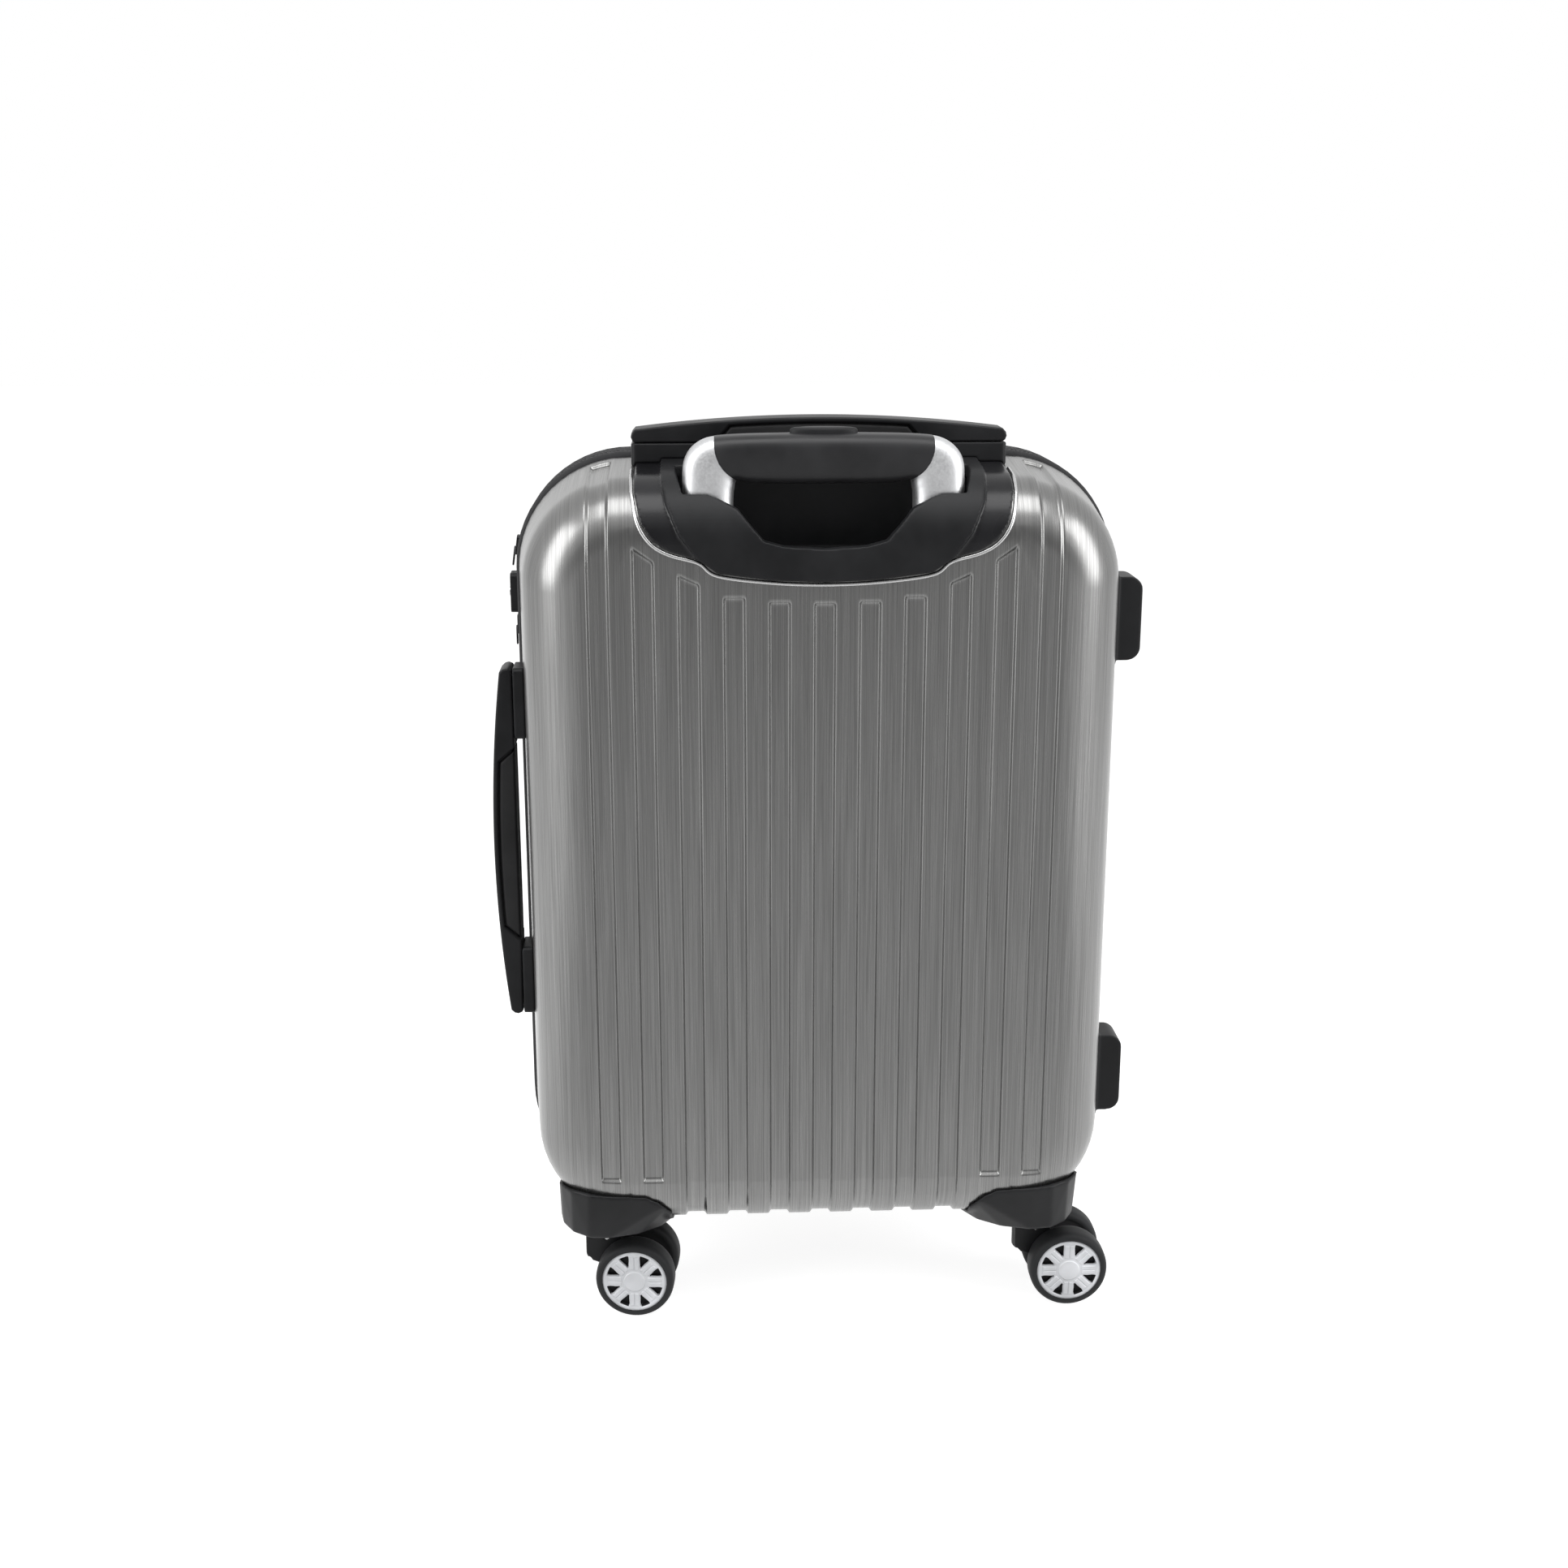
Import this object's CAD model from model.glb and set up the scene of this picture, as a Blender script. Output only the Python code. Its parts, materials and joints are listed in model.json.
# Hard shell cabin suitcase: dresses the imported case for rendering.
import bpy
import bmesh
import json
import math
from mathutils import Matrix, Vector


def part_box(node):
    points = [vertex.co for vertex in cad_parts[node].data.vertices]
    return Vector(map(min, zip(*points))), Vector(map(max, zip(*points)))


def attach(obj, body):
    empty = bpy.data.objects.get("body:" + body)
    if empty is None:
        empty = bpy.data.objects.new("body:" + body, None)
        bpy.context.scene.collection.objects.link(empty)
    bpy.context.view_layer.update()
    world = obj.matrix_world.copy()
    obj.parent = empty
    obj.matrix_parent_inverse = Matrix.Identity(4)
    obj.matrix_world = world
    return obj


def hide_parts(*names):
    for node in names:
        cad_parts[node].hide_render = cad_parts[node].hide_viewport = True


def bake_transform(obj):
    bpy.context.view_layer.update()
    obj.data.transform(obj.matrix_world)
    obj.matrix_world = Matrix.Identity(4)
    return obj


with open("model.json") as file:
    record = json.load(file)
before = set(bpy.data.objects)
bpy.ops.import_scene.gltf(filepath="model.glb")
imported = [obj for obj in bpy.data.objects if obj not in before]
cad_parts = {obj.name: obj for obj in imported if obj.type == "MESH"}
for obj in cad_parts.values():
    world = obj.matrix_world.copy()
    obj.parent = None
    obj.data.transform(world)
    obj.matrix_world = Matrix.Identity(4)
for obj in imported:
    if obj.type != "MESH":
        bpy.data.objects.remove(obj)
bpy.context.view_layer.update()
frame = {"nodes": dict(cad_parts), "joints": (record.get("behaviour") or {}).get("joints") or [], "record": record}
mm = 0.001
scene = bpy.context.scene

# sizes of the case that several pieces share, in millimetres
case = {"coreX": 111, "lowZ": 126, "highZ": 460, "corner": 66, "edge": 36, "draft": math.radians(6),
        "face": 110, "bandHalf": 24, "zip": 11}
edgeDepth = case["face"] - case["edge"]
caseMidZ = (case["lowZ"] + case["highZ"]) / 2


# Distance of the drafted wall from the core block, at a depth from the middle plane.
def wallAt(depth):
    return case["corner"] - (depth - case["bandHalf"]) * math.tan(case["draft"])


edgeR = wallAt(edgeDepth) - case["edge"] / math.cos(case["draft"])   # where the flat face ends
touchR = edgeR + case["edge"] * math.cos(case["draft"])              # where the rounded edge meets the wall


# Eases from 0 at `a` to 1 at `b`.
def smooth(a, b, v):
    t = min(1, max(0, (v - a) / (b - a)))
    return t * t * (3 - 2 * t)


def spread(a, b, count):
    return [a + (b - a) * i / count for i in range(1, count + 1)]


# Point of a smooth curve through b and c, with a before and d after them.
def throughPoints(a, b, c, d, f):
    return 0.5 * (2 * b + (c - a) * f + (2 * a - 5 * b + 4 * c - d) * f * f
                  + (3 * b - a - 3 * c + d) * f ** 3)


# Skin of a tube whose rings of n points follow each other, with both ends closed.
def tubeFaces(rings, n):
    faces = []
    for k in range(rings - 1):
        for i in range(n):
            j = (i + 1) % n
            faces.append((k * n + i, k * n + j, (k + 1) * n + j, (k + 1) * n + i))
    faces.append(tuple(range(n)))
    faces.append(tuple((rings - 1) * n + i for i in reversed(range(n))))
    return faces


# Skin of a closed profile of n points, carried round in a full circle.
def hoopFaces(around, n):
    faces = []
    for i in range(around):
        a, b = i * n, (i + 1) % around * n
        for j in range(n):
            k = (j + 1) % n
            faces.append((a + j, b + j, b + k, a + k))
    return faces


# Skin of a small block made of three rings of four points.
def blockFaces(base):
    faces = []
    for layer in (base, base + 4):
        for j in range(4):
            k = (j + 1) % 4
            faces.append((layer + j, layer + k, layer + 4 + k, layer + 4 + j))
    return faces + [(base + 8, base + 9, base + 10, base + 11), (base + 3, base + 2, base + 1, base)]


def newObject(name, points, faces, scale=mm, shade=True):
    mesh = bpy.data.meshes.new(name)
    mesh.from_pydata([tuple(c * scale for c in p) for p in points], [], faces)
    mesh.validate()
    if shade:
        mesh.shade_smooth()
    piece = bpy.data.objects.new(name, mesh)
    scene.collection.objects.link(piece)
    return piece


def applyModifiers(piece):
    bpy.context.view_layer.update()
    made = bpy.data.meshes.new_from_object(piece.evaluated_get(bpy.context.evaluated_depsgraph_get()))
    piece.modifiers.clear()
    piece.data = made
    return piece


def place(piece, body, material, nodes=()):
    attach(piece, body)
    if nodes:
        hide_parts(*nodes)
    if material and not piece.data.materials:
        piece.data.materials.append(material)
    return piece


def bodyOf(node):
    for body, members in frame["record"]["behaviour"]["bodies"].items():
        if node in members:
            return body


# Turns all faces outwards, merges double points and keeps edges above `angle` degrees sharp.
def turnOut(piece, angle=None):
    mesh = bmesh.new()
    mesh.from_mesh(piece.data)
    if angle:
        bmesh.ops.remove_doubles(mesh, verts=mesh.verts, dist=1e-6)
    bmesh.ops.recalc_face_normals(mesh, faces=mesh.faces)
    mesh.to_mesh(piece.data)
    mesh.free()
    piece.data.shade_smooth()
    if angle:
        piece.data.set_sharp_from_angle(angle=math.radians(angle))


# Says that a piece is a sheet of cloth: half its skin is the side that shows.
def cloth(piece):
    return piece


def put(tree, kind, inputs=None, **settings):
    node = tree.nodes.new(kind)
    for key, value in settings.items():
        setattr(node, key, value)
    for key, value in (inputs or {}).items():
        if isinstance(value, bpy.types.NodeSocket):
            tree.links.new(value, node.inputs[key])
        else:
            node.inputs[key].default_value = value
    return node


def startMaterial(name, **sockets):
    material = bpy.data.materials.new(name)
    material.use_nodes = True
    tree = material.node_tree
    shader = tree.nodes["Principled BSDF"]
    for key, value in sockets.items():
        shader.inputs[socketNames[key]].default_value = value
    return material, tree, shader


socketNames = {"color": "Base Color", "metallic": "Metallic", "roughness": "Roughness",
               "specular": "Specular IOR Level", "coat": "Coat Weight", "coatRoughness": "Coat Roughness",
               "sheen": "Sheen Weight", "sheenRoughness": "Sheen Roughness"}


def coordinates(tree, kind):
    return put(tree, "ShaderNodeTexCoord").outputs[kind]


def axesOf(tree, vector):
    return put(tree, "ShaderNodeSeparateXYZ", {0: vector}).outputs


def calc(tree, operation, *values):
    return put(tree, "ShaderNodeMath", dict(enumerate(values)), operation=operation).outputs[0]


def stretched(tree, scale):
    return put(tree, "ShaderNodeMapping", {"Vector": coordinates(tree, "Object"), "Scale": scale}).outputs[0]


def drive(tree, shader, socket, value):
    tree.links.new(value, shader.inputs[socketNames[socket]])


def noiseOf(tree, vector, scale=1.0, detail=2.0, roughness=0.5):
    return put(tree, "ShaderNodeTexNoise",
               {"Vector": vector, "Scale": scale, "Detail": detail, "Roughness": roughness}).outputs["Fac"]


def ramp(tree, value, low, high, outLow, outHigh):
    return put(tree, "ShaderNodeMapRange", {"Value": value, "From Min": low, "From Max": high,
                                            "To Min": outLow, "To Max": outHigh}).outputs[0]


def mixColors(tree, fac, a, b):
    return put(tree, "ShaderNodeMix", {0: fac, 6: a, 7: b}, data_type="RGBA").outputs[2]


def bump(tree, shader, height, strength, distance):
    made = put(tree, "ShaderNodeBump", {"Height": height, "Strength": strength, "Distance": distance})
    tree.links.new(made.outputs[0], shader.inputs["Normal"])


# Brushed silver film; its fine streaks run up the faces and follow the side walls.
def brushedShell():
    look = {"dark": (0.135, 0.135, 0.133, 1), "light": (0.25, 0.25, 0.247, 1), "fine": 2300, "long": 14}
    material, tree, shader = startMaterial("brushedShell", metallic=0.9, coat=0.3, coatRoughness=0.25)
    side = calc(tree, "ABSOLUTE", axesOf(tree, coordinates(tree, "Normal"))[0])
    turn = ramp(tree, side, 0.6, 0.8, 0, 1)

    def streaks(share, detail):
        fine, long = look["fine"] * share, look["long"] * share
        face = noiseOf(tree, stretched(tree, (fine, long, long)), detail=detail, roughness=0.6)
        wall = noiseOf(tree, stretched(tree, (long, fine, long)), detail=detail, roughness=0.6)
        return put(tree, "ShaderNodeMix", {0: turn, 2: face, 3: wall}).outputs[0]

    wide = ramp(tree, streaks(0.35, 2), 0.3, 0.7, -0.045, 0.045)
    both = calc(tree, "ADD", streaks(1, 3), wide)
    share = ramp(tree, both, 0.28, 0.74, 0, 1)
    drive(tree, shader, "color", mixColors(tree, share, look["dark"], look["light"]))
    drive(tree, shader, "roughness", ramp(tree, both, 0.25, 0.75, 0.33, 0.25))
    bump(tree, shader, both, 0.05, 0.0003)
    return material


# Plastic or rubber with a fine grain and a faint cloudiness.
def mouldedPlastic(name, color, roughness, grain=2600, strength=0.12, specular=0.17, coat=0.0):
    material, tree, shader = startMaterial(name, specular=specular, coat=coat, coatRoughness=0.25)
    vector = stretched(tree, (1, 1, 1))
    fine = noiseOf(tree, vector, grain, 3, 0.6)
    cloudy = noiseOf(tree, vector, 28, 3, 0.55)
    lighter = tuple(c * 1.5 + 0.003 for c in color[:3]) + (1,)
    drive(tree, shader, "color", mixColors(tree, ramp(tree, cloudy, 0.35, 0.7, 0, 1), color, lighter))
    drive(tree, shader, "roughness", ramp(tree, cloudy, 0.3, 0.7, roughness - 0.04, roughness + 0.06))
    bump(tree, shader, fine, strength, 0.0003)
    return material


# Bare or lacquered metal with a faint grain, drawn out by `along`.
def metalFinish(name, color, roughness, along):
    material, tree, shader = startMaterial(name, metallic=1.0)
    grain = noiseOf(tree, stretched(tree, along), 1.0, 3, 0.6)
    darker = tuple(c * 0.82 for c in color[:3]) + (1,)
    drive(tree, shader, "color", mixColors(tree, grain, darker, color))
    drive(tree, shader, "roughness", ramp(tree, grain, 0.3, 0.7, roughness - 0.05, roughness + 0.07))
    bump(tree, shader, grain, 0.04, 0.0003)
    return material


# Cloth woven of threads `thread` millimetres apart.
def wovenFabric(name, color, thread, contrast=0.45, sheen=0.25):
    material, tree, shader = startMaterial(name, roughness=0.85, specular=0.2, sheen=sheen,
                                           sheenRoughness=0.5)
    scale = 2 * math.pi / (thread * mm)
    axes = axesOf(tree, stretched(tree, (scale, scale, scale)))
    waves = [calc(tree, "SINE", axes[i]) for i in range(3)]
    cross = calc(tree, "MULTIPLY", waves[0], waves[2])
    weave = calc(tree, "MULTIPLY_ADD", cross, waves[1], cross)
    cloudy = noiseOf(tree, stretched(tree, (40, 40, 40)), 1.0, 4, 0.6)
    lighter = tuple(min(1, c * (1 + contrast) + 0.004) for c in color[:3]) + (1,)
    amount = calc(tree, "ADD", ramp(tree, weave, -1, 1, 0, 0.6), ramp(tree, cloudy, 0.3, 0.7, 0, 0.4))
    drive(tree, shader, "color", mixColors(tree, amount, color, lighter))
    bump(tree, shader, weave, 0.35, 0.0002)
    return material


shellMaterial = brushedShell()
mattePlastic = mouldedPlastic("satinBlackPlastic", (0.009, 0.0092, 0.010, 1), 0.42)
glossPlastic = mouldedPlastic("glossBlackPlastic", (0.007, 0.007, 0.008, 1), 0.26, strength=0.03, coat=0.2)
softGrip = mouldedPlastic("softGrip", (0.012, 0.012, 0.013, 1), 0.38, grain=3800, strength=0.08,
                          specular=0.3)
insertGrip = mouldedPlastic("handleInsert", (0.012, 0.012, 0.0125, 1), 0.5, grain=2200, strength=0.2)
hubPlastic = mouldedPlastic("hubPlastic", (0.56, 0.57, 0.59, 1), 0.32, strength=0.04, specular=0.5)
windowDark = mouldedPlastic("hubWindow", (0.02, 0.02, 0.021, 1), 0.6)
tyreRubber = mouldedPlastic("tyreRubber", (0.016, 0.0165, 0.0175, 1), 0.55, grain=1500, strength=0.22)
satinSilver = metalFinish("satinSilver", (0.68, 0.685, 0.695, 1), 0.42, (900, 900, 900))
tubeAluminium = metalFinish("tubeAluminium", (0.5, 0.505, 0.515, 1), 0.28, (900, 900, 12))
brightSteel = metalFinish("brightSteel", (0.6, 0.6, 0.6, 1), 0.25, (300, 300, 300))
darkMetal = metalFinish("darkMetal", (0.035, 0.035, 0.037, 1), 0.4, (300, 300, 300))
tapeFabric = wovenFabric("zipTape", (0.010, 0.010, 0.011, 1), 0.9, sheen=0.05)
gussetFabric = wovenFabric("gussetNylon", (0.013, 0.013, 0.0145, 1), 0.7, sheen=0.08)
liningFabric = wovenFabric("liningCloth", (0.075, 0.08, 0.09, 1), 0.8, contrast=0.3)
webbingFabric = wovenFabric("webbing", (0.012, 0.012, 0.013, 1), 1.3, contrast=0.8, sheen=0.08)
toothPlastic = mouldedPlastic("zipTeeth", (0.02, 0.02, 0.021, 1), 0.4, specular=0.4)
print("materials ready")


# r is the distance outwards from the core block, d the depth from the middle plane.
def profileAt(r):
    if r <= edgeR:
        return case["face"], 0.0, 1.0
    if r <= touchR:
        a = math.acos((r - edgeR) / case["edge"])
        return edgeDepth + case["edge"] * math.sin(a), math.cos(a), math.sin(a)
    d = case["bandHalf"] + (case["corner"] - r) / math.tan(case["draft"])   # on the drafted wall
    return d, math.cos(case["draft"]), math.sin(case["draft"])


# Point of the shell over (x, z), pushed inwards by `inset` along its normal.
def shellPoint(x, z, inset=0.0):
    dx = max(0.0, abs(x) - case["coreX"]) * (1 if x > 0 else -1)
    dz = z - case["highZ"] if z > case["highZ"] else min(0.0, z - case["lowZ"])
    r = math.hypot(dx, dz)
    d, outward, deep = profileAt(r)
    nx, nz = (dx / r * outward, dz / r * outward) if r > 1e-6 else (0.0, 0.0)
    return x - nx * inset, -(d - deep * inset), z - nz * inset


def ringPoint(r, x, top):
    dx = max(0.0, abs(x) - case["coreX"])
    reach = math.sqrt(max(0.0, r * r - dx * dx))
    return case["highZ"] + reach if top else case["lowZ"] - reach


# Grooves lie `pitch` apart; their soft edges are `soft` wide, and `tops` are the heights where they end.
# The mesh has lines of its own there, at `plainTop` where no groove ends.
groove = {"pitch": 25.4, "width": 11.4, "depth": 2.0, "soft": 1.0, "endSoft": 1.6, "low": 102,
          "wallEnd": 34, "tops": [452.6, 453.4, 456, 466, 480], "slopes": [0, 0, 0, 0.46, 0.7],
          "plainTop": 455}
edgeSteps = [-1.5, -1.1, -0.8, -0.5, -0.2, 0.1, 0.4, 0.7, 1.1, 1.5]
endSteps = [s * 1.5 for s in edgeSteps]
ringStart = 36
hole = {"x": 87.4, "low": 474.6, "depth": 66.6, "rowsAbove": 12,
        "corner": [(58, 0), (70, 6), (85.4, 11), (87.4, 12)]}


# Height of the recess hole's lower edge, which follows the trolley housing at its corners.
def holeLow(a):
    before = (0, 0)
    for here in hole["corner"]:
        if a <= here[0]:
            break
        before = here
    if a > here[0]:
        return hole["low"] + here[1]
    return hole["low"] + before[1] + (here[1] - before[1]) * (a - before[0]) / (here[0] - before[0])


# Height where the groove at x ends under the trolley housing.
def topEnd(x):
    a = abs(x)
    k = min(4, int(a / groove["pitch"] + 0.5))
    mid = k * groove["pitch"]
    value = groove["tops"][k] + groove["slopes"][k] * max(-7, min(7, a - mid))
    if k == 4 and a > mid + 7:
        return value + (groove["plainTop"] - value) * smooth(mid + 7, 121, a)
    return value


# How deep the shell is pressed in at a point, from 0 to 1.
def grooveShare(x, z, d, closedTop):
    a = abs(x)
    k = int(a / groove["pitch"] + 0.5)
    if k > 5:
        return 0.0
    u = groove["width"] / 2 - abs(a - k * groove["pitch"])
    share = smooth(-groove["soft"], groove["soft"], u)
    if share == 0:
        return 0.0
    share *= smooth(-groove["soft"], groove["soft"], d - groove["wallEnd"])
    if k > 3:
        share *= smooth(-groove["endSoft"], groove["endSoft"], z - groove["low"])
    if closedTop and k < 5:
        share *= smooth(-groove["endSoft"], groove["endSoft"], topEnd(x) - z)
    return share


# Places across the shell of its mesh lines, close together at the grooves' edges.
def columnLines():
    lines = [0.0]
    for k in range(6):
        mid = k * groove["pitch"]
        if k:
            lines += [mid - groove["width"] / 2 + s for s in edgeSteps]
            lines.append(mid)
        else:
            lines.append(2.2)
        lines += [mid + groove["width"] / 2 + s for s in edgeSteps]
    lines += [hole["x"]]
    lines = sorted(set(round(v, 3) for v in lines if v <= 134.3))
    return [-v for v in reversed(lines[1:])] + lines


# Distances from the core block of the mesh lines on the walls and the rounded edge.
def depthRows():
    depths = [24, 27, 30] + [groove["wallEnd"] + s for s in edgeSteps] + [40, 48, 57, 62, hole["depth"], 72]
    rows = [wallAt(d) for d in depths]
    steps = 13
    last = math.acos((ringStart - edgeR) / case["edge"])
    for i in range(steps):
        a = case["draft"] + (last - case["draft"]) * i / steps
        rows.append(edgeR + case["edge"] * math.cos(a))
    return rows


# Heights of the mesh lines up the face at x.
def middleRows(x, closedTop):
    a = abs(x)
    low, high = ringPoint(ringStart, x, False), ringPoint(ringStart, x, True)
    rows = [low] + [groove["low"] + s for s in endSteps] + spread(groove["low"] + 2.9, case["lowZ"], 7)
    end = topEnd(x) if closedTop else groove["plainTop"]
    rows += spread(case["lowZ"], end - 2.9, 12) + [end + s for s in endSteps[1:]]
    edge = holeLow(min(a, hole["x"]))
    if a > hole["x"] + 0.01:
        edge += (case["highZ"] - edge) * smooth(hole["x"], 125, a)
    edge = max(edge, end + 4)
    return rows + spread(end + 2.9, edge, 3) + spread(edge, high, hole["rowsAbove"])


# Outer skin of a shell: a grid over the face and the walls above and below, then the side walls.
def buildShell(name, closedTop):
    xs, outer = columnLines(), depthRows()
    points, index, faces = [], {}, []

    def vertex(key, x, z):
        d = -shellPoint(x, z)[1]
        index[key] = len(points)
        points.append(shellPoint(x, z, groove["depth"] * grooveShare(x, z, d, closedTop)))

    middle = len(middleRows(0, closedTop))
    total = middle + 2 * len(outer)
    for i, x in enumerate(xs):
        zs = [ringPoint(r, x, False) for r in outer] + middleRows(x, closedTop) + \
             [ringPoint(r, x, True) for r in reversed(outer)]
        for j, z in enumerate(zs):
            vertex((i, j), x, z)
    holeRow = len(outer) + middle - 1 - hole["rowsAbove"]
    wallRow = total - 1 - outer.index(wallAt(hole["depth"]))
    for i in range(len(xs) - 1):
        inside = closedTop and max(abs(xs[i]), abs(xs[i + 1])) <= hole["x"] + 0.01
        for j in range(total - 1):
            if inside and holeRow <= j < wallRow:
                continue
            faces.append((index[i, j], index[i + 1, j], index[i + 1, j + 1], index[i, j + 1]))
    # side strips: rings round the corners, joined to the outermost column
    for s, i in ((-1, 0), (1, len(xs) - 1)):
        x0 = abs(xs[i])
        dx = x0 - case["coreX"]
        column = middleRows(xs[i], closedTop)
        across = 5

        def corner(r, z):
            start = math.asin(dx / r)
            low, high = column[0], column[-1]
            if z < case["lowZ"]:
                g = (z - low) / (case["lowZ"] - low)
                a = start + g * (math.pi / 2 - start)
                return case["coreX"] + r * math.sin(a), case["lowZ"] - r * math.cos(a)
            if z > case["highZ"]:
                g = (high - z) / (high - case["highZ"])
                a = start + g * (math.pi / 2 - start)
                return case["coreX"] + r * math.sin(a), case["highZ"] + r * math.cos(a)
            return case["coreX"] + r, z

        grid = []
        for f in range(across + 1):
            row = []
            for j, z in enumerate(column):
                if f == 0:
                    row.append(index[i, len(outer) + j])
                    continue
                if j in (0, middle - 1):
                    row.append(row0[j])
                    continue
                ex, ez = corner(ringStart, z)
                t = f / across
                row.append(len(points))
                points.append(shellPoint(s * (x0 + (ex - x0) * t), z + (ez - z) * t))
            if f == 0:
                row0 = row
            grid.append(row)
        for r in reversed(outer):
            row = []
            m = outer.index(r)
            for j, z in enumerate(column):
                if j == 0:
                    row.append(index[i, m])
                elif j == middle - 1:
                    row.append(index[i, total - 1 - m])
                else:
                    ex, ez = corner(r, z)
                    row.append(len(points))
                    points.append(shellPoint(s * ex, ez))
            grid.append(row)
        for a, b in zip(grid, grid[1:]):
            for j in range(middle - 1):
                face = [a[j], b[j], b[j + 1], a[j + 1]] if s > 0 else [a[j], a[j + 1], b[j + 1], b[j]]
                face = list(dict.fromkeys(face))
                if len(face) > 2:
                    faces.append(face)
    return newObject(name, points, faces)


# Gives the skin its wall, with plain plastic inside.
def finishShell(piece, mirrored):
    if mirrored:
        for v in piece.data.vertices:
            v.co.y = -v.co.y
        piece.data.flip_normals()
    piece.data.materials.append(shellMaterial)
    piece.data.materials.append(mattePlastic)
    thick = piece.modifiers.new("thick", "SOLIDIFY")
    thick.thickness = 2.2 * mm
    thick.offset = -1
    thick.material_offset = 1
    return applyModifiers(piece)


rearShell = finishShell(buildShell("rearShell", True), False)
place(rearShell, "rear_case", shellMaterial, ["rear_shell"])
frontShell = finishShell(buildShell("frontShell", False), True)
place(frontShell, "front_case", shellMaterial, ["front_shell"])
print("shells ready")


# Point and outward direction at a way s along the ring of radius r round the case.
def ringAt(s, r):
    s %= ringLength(r)
    corners = [(case["coreX"], case["highZ"]), (-case["coreX"], case["highZ"]),
               (-case["coreX"], case["lowZ"]), (case["coreX"], case["lowZ"])]
    for k, (cx, cz) in enumerate(corners):
        turn = k * math.pi / 2
        nx, nz = math.cos(turn), math.sin(turn)
        straight = 2 * case["coreX"] if k % 2 else case["highZ"] - case["lowZ"]
        if s <= straight:
            back = straight - s
            return cx + r * nx + nz * back, cz + r * nz - nx * back, nx, nz
        s -= straight
        if s <= math.pi / 2 * r or k == 3:
            nx, nz = math.cos(turn + s / r), math.sin(turn + s / r)
            return cx + r * nx, cz + r * nz, nx, nz
        s -= math.pi / 2 * r


def ringLength(r):
    return 2 * (case["highZ"] - case["lowZ"]) + 4 * case["coreX"] + 2 * math.pi * r


# Sweeps a closed profile of (r, y) round the case.
def sweepRing(name, profile, around=220):
    base = case["corner"]
    points = []
    for i in range(around):
        x, z, nx, nz = ringAt(ringLength(base) * i / around, base)
        points += [(x + nx * (r - base), y, z + nz * (r - base)) for r, y in profile]
    return newObject(name, points, hoopFaces(around, len(profile)))


# Radii of the bands' section; the coils of each zip lie in a channel.
bands = {"rim": 66.0, "crown": 68.55, "channel": 67.2, "channelHalf": 2.9, "inner": 64.9, "zipGap": 0.2}
zipY, half = case["zip"], bands["channelHalf"]


def bandProfile(side):
    edge, gap = case["bandHalf"] - 0.1, bands["zipGap"]
    outer = [(bands["rim"], -edge), (66.9, -22.4), (68.0, -19.2), (68.4, -zipY - half - 1.4),
             (bands["crown"], -zipY - half - 0.3), (68.3, -zipY - half),
             (bands["channel"], -zipY - half + 0.1), (bands["channel"], -zipY - gap)]
    inner = [(bands["inner"], -zipY - gap), (bands["inner"], -19), (63.4, -edge)]
    return [(r, y * side) for r, y in outer + inner]


def middleProfile():
    gap = bands["zipGap"]
    rise = [(bands["channel"], gap - zipY), (bands["channel"], half - 0.1 - zipY), (68.3, half - zipY),
            (bands["crown"], half + 0.3 - zipY), (68.4, half + 1.6 - zipY)]
    fall = [(r, -y) for r, y in reversed(rise)]
    return rise + [(bands["crown"], 0)] + fall + [(bands["inner"], zipY - gap), (bands["inner"], gap - zipY)]


def addBand(name, profile, body, node):
    piece = sweepRing(name, profile)
    bend = piece.modifiers.new("bend", "BEVEL")
    bend.width = 0.25 * mm
    bend.segments = 2
    bend.limit_method = "ANGLE"
    bend.angle_limit = math.radians(30)
    applyModifiers(piece)
    turnOut(piece)
    place(piece, body, tapeFabric, [node])


addBand("rearZipBand", bandProfile(1), "rear_case", "rear_zip_band")
addBand("middleZipBand", middleProfile(), "middle_band", "middle_zip_band")
addBand("frontZipBand", bandProfile(-1), "front_case", "front_zip_band")


# One row of teeth along a zip, reaching across it from `side`.
def teethRow(name, side, zipAt, body, shift):
    tooth = {"pitch": 2.5, "length": 1.35, "reach": 0.45, "root": 2.2, "low": 66.9, "high": 68.35}
    count = int(ringLength(case["corner"]) / tooth["pitch"])
    middle = (tooth["root"] - tooth["reach"]) / 2
    points, faces = [], []
    for i in range(count):
        x, z, nx, nz = ringAt((i + shift) * ringLength(case["corner"]) / count, case["corner"])
        faces += blockFaces(len(points))
        for top, grow in ((tooth["low"], 1.0), (tooth["high"] - 0.35, 1.0), (tooth["high"], 0.62)):
            up = top - case["corner"]
            for along, end in ((-1, "reach"), (1, "reach"), (1, "root"), (-1, "root")):
                y = tooth["root"] if end == "root" else -tooth["reach"]
                across = middle + (y - middle) * grow
                w = along * grow * tooth["length"] / 2
                points.append((x + nx * up - nz * w, zipAt + side * across, z + nz * up + nx * w))
    piece = newObject(name, points, faces, shade=False)
    return place(piece, body, toothPlastic)


teethRow("expansionTeethRear", -1, -zipY, "rear_case", 0)
teethRow("expansionTeethMiddle", 1, -zipY, "middle_band", 0.5)
teethRow("mainTeethMiddle", -1, zipY, "middle_band", 0)
teethRow("mainTeethFront", 1, zipY, "front_case", 0.5)

# Flat, the gusset is wide enough to span the opened zip; stored, it lies in folds.
gusset = {"outer": 62.9, "fold": 6.4, "legs": 8, "steps": 5, "from": -21.5, "to": -10.5,
          "sewn": 64.8, "thick": 0.4}


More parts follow.
